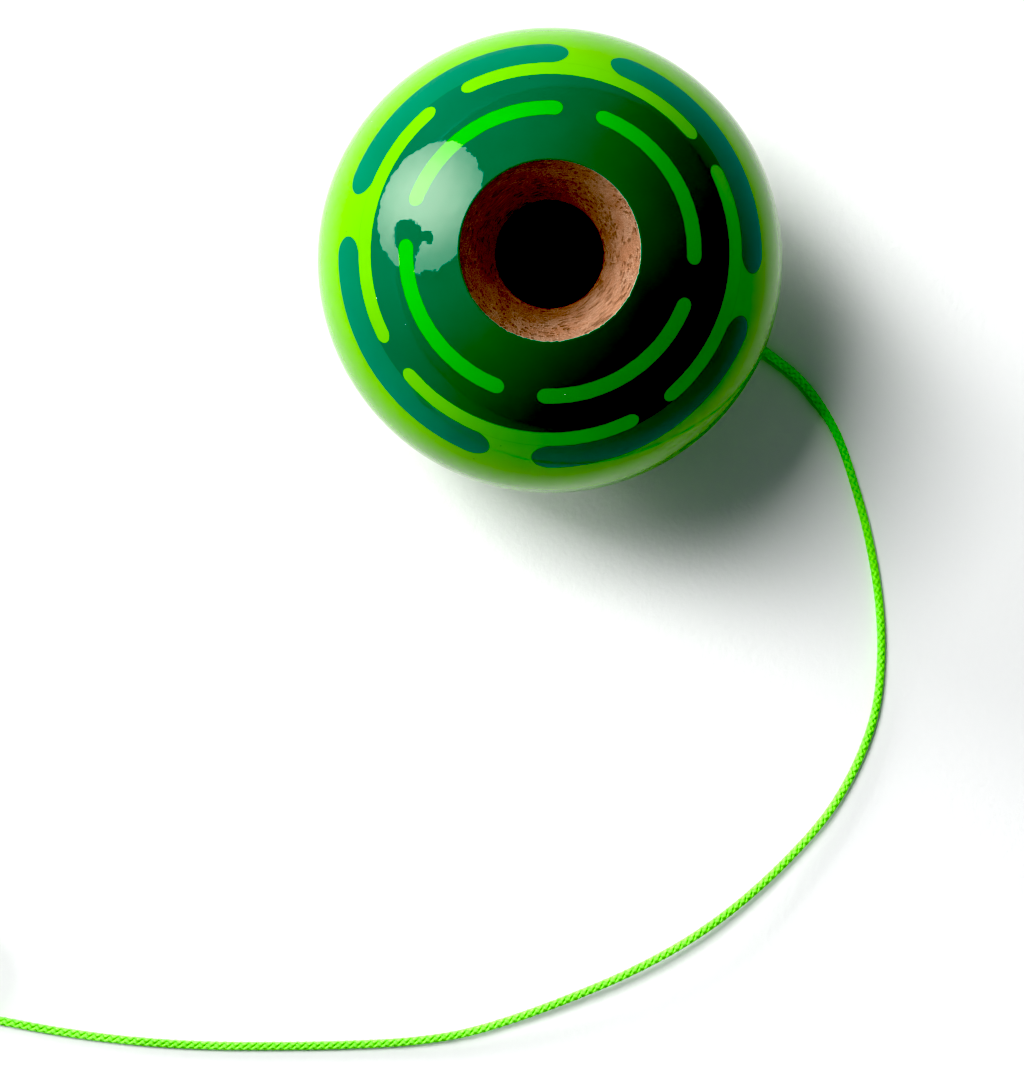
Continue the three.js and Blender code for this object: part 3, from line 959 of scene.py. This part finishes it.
def coil_points(string):
    """The coil's turns: in towards the middle on the table, then up a layer and out again."""
    points = []
    per_turn, turns, d = 36, string.coil_turns, string.diameter
    for i in range(per_turn * turns + 1):
        gone = i / per_turn
        angle = COIL_ENTRY - math.tau * gone
        radius = string.coil_radius - d * (turns / 2 - abs(gone - turns / 2))
        climb = min(1.0, max(0.0, (gone - turns / 2 + 0.2) / 0.3))
        height = string.coil_foot + d / 2 + d * climb * climb * (3 - 2 * climb)
        x, y = COIL_CENTRE.x + radius * math.cos(angle), COIL_CENTRE.y + radius * math.sin(angle)
        points.append((x, y, height))
    return points


def string_points(string):
    run = []
    for x, y in STRING_ROUTE:
        off = math.hypot(x - LIFTED_AT[0], y - LIFTED_AT[1]) / string.lift_reach
        run.append((x, y, string.diameter / 2 + string.lift * math.exp(-off * off)))
    return smooth_line(way_out(string) + run + coil_points(string) + STRING_TAIL, 0.3 * MM)


def overhand(place, size):
    """A pulled-tight overhand knot along place's +Z, with its two ends on that line."""
    points = []
    reach, steps = 2.12, 80
    for i in range(steps + 1):
        t = -reach + 2 * reach * i / steps
        fade = min(1.0, max(0.0, (reach - abs(t)) / 0.4))
        side = 0.5 * (t ** 3 - 3 * t) * fade
        up = 0.4 * (t ** 4 - 4 * t ** 2 + 2) * fade
        along = 0.085 * (t ** 5 - 10 * t)
        points.append(place @ (Vector((side, up, along)) * size))
    return points


def braid_inputs(string, yarn, core):
    return {
        "Radius": string.diameter / 2, "Lay": string.lay, "Step": string.step,
        "Strands Each Way": string.each_way, "Strand Width": string.strand_width,
        "Strand Height": string.strand_height, "Swell": string.swell, "Yarn": yarn, "Core": core,
    }


class KENDAMA_OT_string(bpy.types.Operator):
    """Braid the string along its route, coil its spare length, and tie its two knots"""

    bl_idname = "kendama.string"
    bl_label = "String"

    def execute(self, context):
        string = context.scene.kendama_string
        tree = braid_tree()
        inputs = braid_inputs(string, yarn_material(string), core_material(string))
        path = string_points(string)
        braid = grown("string_braid", path, tree, inputs)
        lay(braid, "string", "string_braid", "string_in_ball", "string_run", "string_coil", "string_tail")
        pull = END_PULL.to_track_quat("Z", "Y").to_matrix().to_4x4()
        ends = {
            "stopper_knot": PLACE @ Matrix.Translation((0, 0, KNOT_HEIGHT)),
            "end_knot": Matrix.Translation(END_KNOT) @ pull,
        }
        for name, place in ends.items():
            knot = grown(name + "_braid", overhand(place, MM), tree, inputs)
            lay(knot, "string", "string_braid", name)
        return {"FINISHED"}


class KENDAMA_OT_band(bpy.types.Operator):
    """Finish the band round the coil"""

    bl_idname = "kendama.band"
    bl_label = "Coil Band"

    def execute(self, context):
        recoat("coil_tie", band_material())
        return {"FINISHED"}


# The stage


def aimed(place, target, up):
    """A matrix at place whose -Z looks at target, with +Y as near to up as it can be."""
    back = (place - target).normalized()
    right = up.cross(back).normalized()
    turn = Matrix((right, back.cross(right), back)).transposed().to_4x4()
    return Matrix.Translation(place) @ turn


def area_light(name, place, target, size, glow):
    """A rectangular light of this brightness, in watts per square metre and steradian."""
    light = bpy.data.lights.new(name, "AREA")
    light.shape = "RECTANGLE"
    light.size, light.size_y = size
    light.energy = glow * math.pi * light.size * light.size_y
    light.color = LAMP_TINT
    lamp = bpy.data.objects.new(name, light)
    lamp.matrix_world = aimed(place, target, Vector((0, 0, 1)))
    bpy.context.scene.collection.objects.link(lamp)
    return lamp


def heading(turn, rise):
    """A unit vector, from its angles in degrees round from +X and up from level."""
    turn, rise = math.radians(turn), math.radians(rise)
    return Vector((math.cos(turn) * math.cos(rise), math.sin(turn) * math.cos(rise), math.sin(rise)))


def oval(graph, place, middle, radii):
    """How far a place lies from an oval's middle, where 1 is on the oval."""
    offset = graph.vector("SUBTRACT", place, (*middle, 0.0))
    return graph.vector("LENGTH", graph.vector("DIVIDE", offset, (*radii, 1.0)))


def window_material(stage):
    """Daylight through a window with a potted plant on its sill."""
    made = bpy.data.materials.new("daylight")
    made.use_nodes = True
    graph = Graph(made.node_tree)
    graph.tree.nodes.clear()
    flat = table_millimetres(graph)
    shake = graph.add("ShaderNodeTexNoise", {"Vector": flat, "Scale": 0.12, "Detail": 5.0}).outputs["Color"]
    place = graph.vector("ADD", flat, graph.scaled(graph.vector("SUBTRACT", shake, (0.5, 0.5, 0.5)), 11.0))
    place = graph.vector("MULTIPLY", place, (1.0, 1.0, 0.0))
    opening = graph.ramp(oval(graph, place, *OPENING), 1.0, 0.97)
    plant = oval(graph, place, *PLANT[0])
    for part in PLANT[1:]:
        plant = graph.math("MINIMUM", plant, oval(graph, place, *part))
    opening = graph.times(opening, graph.ramp(plant, 0.94, 1.04))
    strength = graph.times(graph.ramp(oval(graph, place, *DAZZLE), 0.1, 1.0, 1.0, 0.42), stage.window_glow)
    glow = graph.first("ShaderNodeEmission", {"Color": WINDOW_TINT, "Strength": strength})
    clear = graph.first("ShaderNodeBsdfTransparent")
    mixed = graph.first("ShaderNodeMixShader", {0: opening, 1: clear, 2: glow})
    graph.add("ShaderNodeOutputMaterial", {"Surface": mixed})
    return made


def square(name, half, skin):
    """A level square about the origin, from its middle this far to each side."""
    mesh = bpy.data.meshes.new(name)
    corners = [(-half, -half, 0), (half, -half, 0), (half, half, 0), (-half, half, 0)]
    mesh.from_pydata(corners, [], [(0, 1, 2, 3)])
    return finished(mesh, name, skin, smooth=False)


def mirrored_window(stage):
    """The window as the lacquer mirrors it: a card near the ball that nothing else sees."""
    card = square("mirrored_window", stage.mirror_reach * 0.7, window_material(stage))
    way = heading(stage.light_side + 6, 17)
    card.matrix_world = aimed(CENTRE + way * stage.mirror_reach, CENTRE, Vector((0, 0, 1)))
    card.visible_camera = card.visible_diffuse = card.visible_shadow = card.visible_transmission = False
    return card


def room(stage, towards_window):
    """The room's soft light: brightest on the window's side, dim behind, and dark over the bore."""
    world = bpy.data.worlds.new("room")
    world.use_nodes = True
    graph = Graph(world.node_tree)
    way = graph.add("ShaderNodeTexCoord").outputs["Generated"]
    facing = graph.vector("DOT_PRODUCT", way, tuple(towards_window))
    glow = graph.ramp(facing, -0.3, 0.95, stage.sky_dim, stage.sky_bright)
    overhead = graph.ramp(graph.vector("DOT_PRODUCT", way, tuple(AXIS)), 0.94, 0.97, 1.0, 0.05)
    glow = graph.times(glow, overhead)
    mirrored = graph.add("ShaderNodeLightPath").outputs["Is Glossy Ray"]
    glow = graph.times(glow, graph.math("MULTIPLY_ADD", mirrored, stage.mirror_gain - 1.0, 1.0))
    background = world.node_tree.nodes["Background"]
    graph.feed(background.inputs["Color"], graph.mix(mirrored, ROOM_TINT, MIRROR_TINT))
    graph.feed(background.inputs["Strength"], glow)
    return world


class KENDAMA_OT_stage(bpy.types.Operator):
    """Set the camera, the window's light and its mirror image, the room's light and the paper"""

    bl_idname = "kendama.stage"
    bl_label = "Stage"

    def execute(self, context):
        stage, scene = context.scene.kendama_stage, context.scene
        dip = math.radians(stage.dip)
        towards = (AXIS * math.cos(dip) + Vector((0, -math.sin(dip), 0))).normalized()
        camera = bpy.data.objects.new("camera", bpy.data.cameras.new("camera"))
        camera.data.lens = stage.lens
        camera.data.sensor_width = 36
        camera.data.clip_start = 0.01
        camera.matrix_world = aimed(CENTRE + towards * stage.distance, Vector(stage.aim), Vector((0, 1, 0)))
        scene.collection.objects.link(camera)
        scene.camera = camera

        for name, rise, half_width, half_height, glow in (
            ("high_window", 54, 9, 12, stage.key_glow),
            ("low_window", 12, 10, 9, stage.low_glow),
        ):
            way = heading(stage.light_side, rise)
            halves = math.radians(half_width), math.radians(half_height)
            size = [2 * stage.light_reach * math.tan(half) for half in halves]
            window = area_light(name, CENTRE + way * stage.light_reach, CENTRE, size, glow)
            window.visible_glossy = False
            window.visible_camera = False
        mirrored_window(stage)
        scene.world = room(stage, heading(stage.light_side, 0))
        scene.view_settings.view_transform = "Standard"
        scene.view_settings.use_curve_mapping = True
        scene.view_settings.curve_mapping.black_level = (stage.black, stage.black, stage.black)
        scene.view_settings.curve_mapping.update()

        table = square("table", 3.0, paper_material(stage))
        return {"FINISHED"}


class KENDAMA_PT_panel(bpy.types.Panel):
    """Lists the pieces and the sizes and colours they use"""

    bl_label = "Kendama Ball"
    bl_idname = "KENDAMA_PT_panel"
    bl_space_type = "VIEW_3D"
    bl_region_type = "UI"
    bl_category = "Kendama"

    def draw(self, context):
        for operator in OPERATORS:
            self.layout.operator(operator.bl_idname)
        for pointer in SETTINGS:
            box = self.layout.box()
            group = getattr(context.scene, pointer)
            for name in group.bl_rna.properties.keys():
                if name not in ("rna_type", "name"):
                    box.prop(group, name)


SETTINGS = {
    "kendama_ball": KendamaBallSizes,
    "kendama_paint": KendamaPaint,
    "kendama_string": KendamaString,
    "kendama_stage": KendamaStage,
}
OPERATORS = (
    KENDAMA_OT_stage,
    KENDAMA_OT_string,
    KENDAMA_OT_band,
    KENDAMA_OT_wooden_ball,
    KENDAMA_OT_washer,
    KENDAMA_OT_bearing,
)


def register():
    for made in (*SETTINGS.values(), *OPERATORS, KENDAMA_PT_panel):
        bpy.utils.register_class(made)
    for pointer, group in SETTINGS.items():
        setattr(bpy.types.Scene, pointer, PointerProperty(type=group))


def unregister():
    for pointer in SETTINGS:
        delattr(bpy.types.Scene, pointer)
    for made in reversed((*SETTINGS.values(), *OPERATORS, KENDAMA_PT_panel)):
        bpy.utils.unregister_class(made)


def main():
    register()
    dash_group()
    turning_group()
    bpy.ops.kendama.stage()
    bpy.ops.kendama.string()
    bpy.ops.kendama.band()
    bpy.ops.kendama.wooden_ball()
    bpy.ops.kendama.washer()
    bpy.ops.kendama.bearing()


if __name__ == "__main__":
    main()
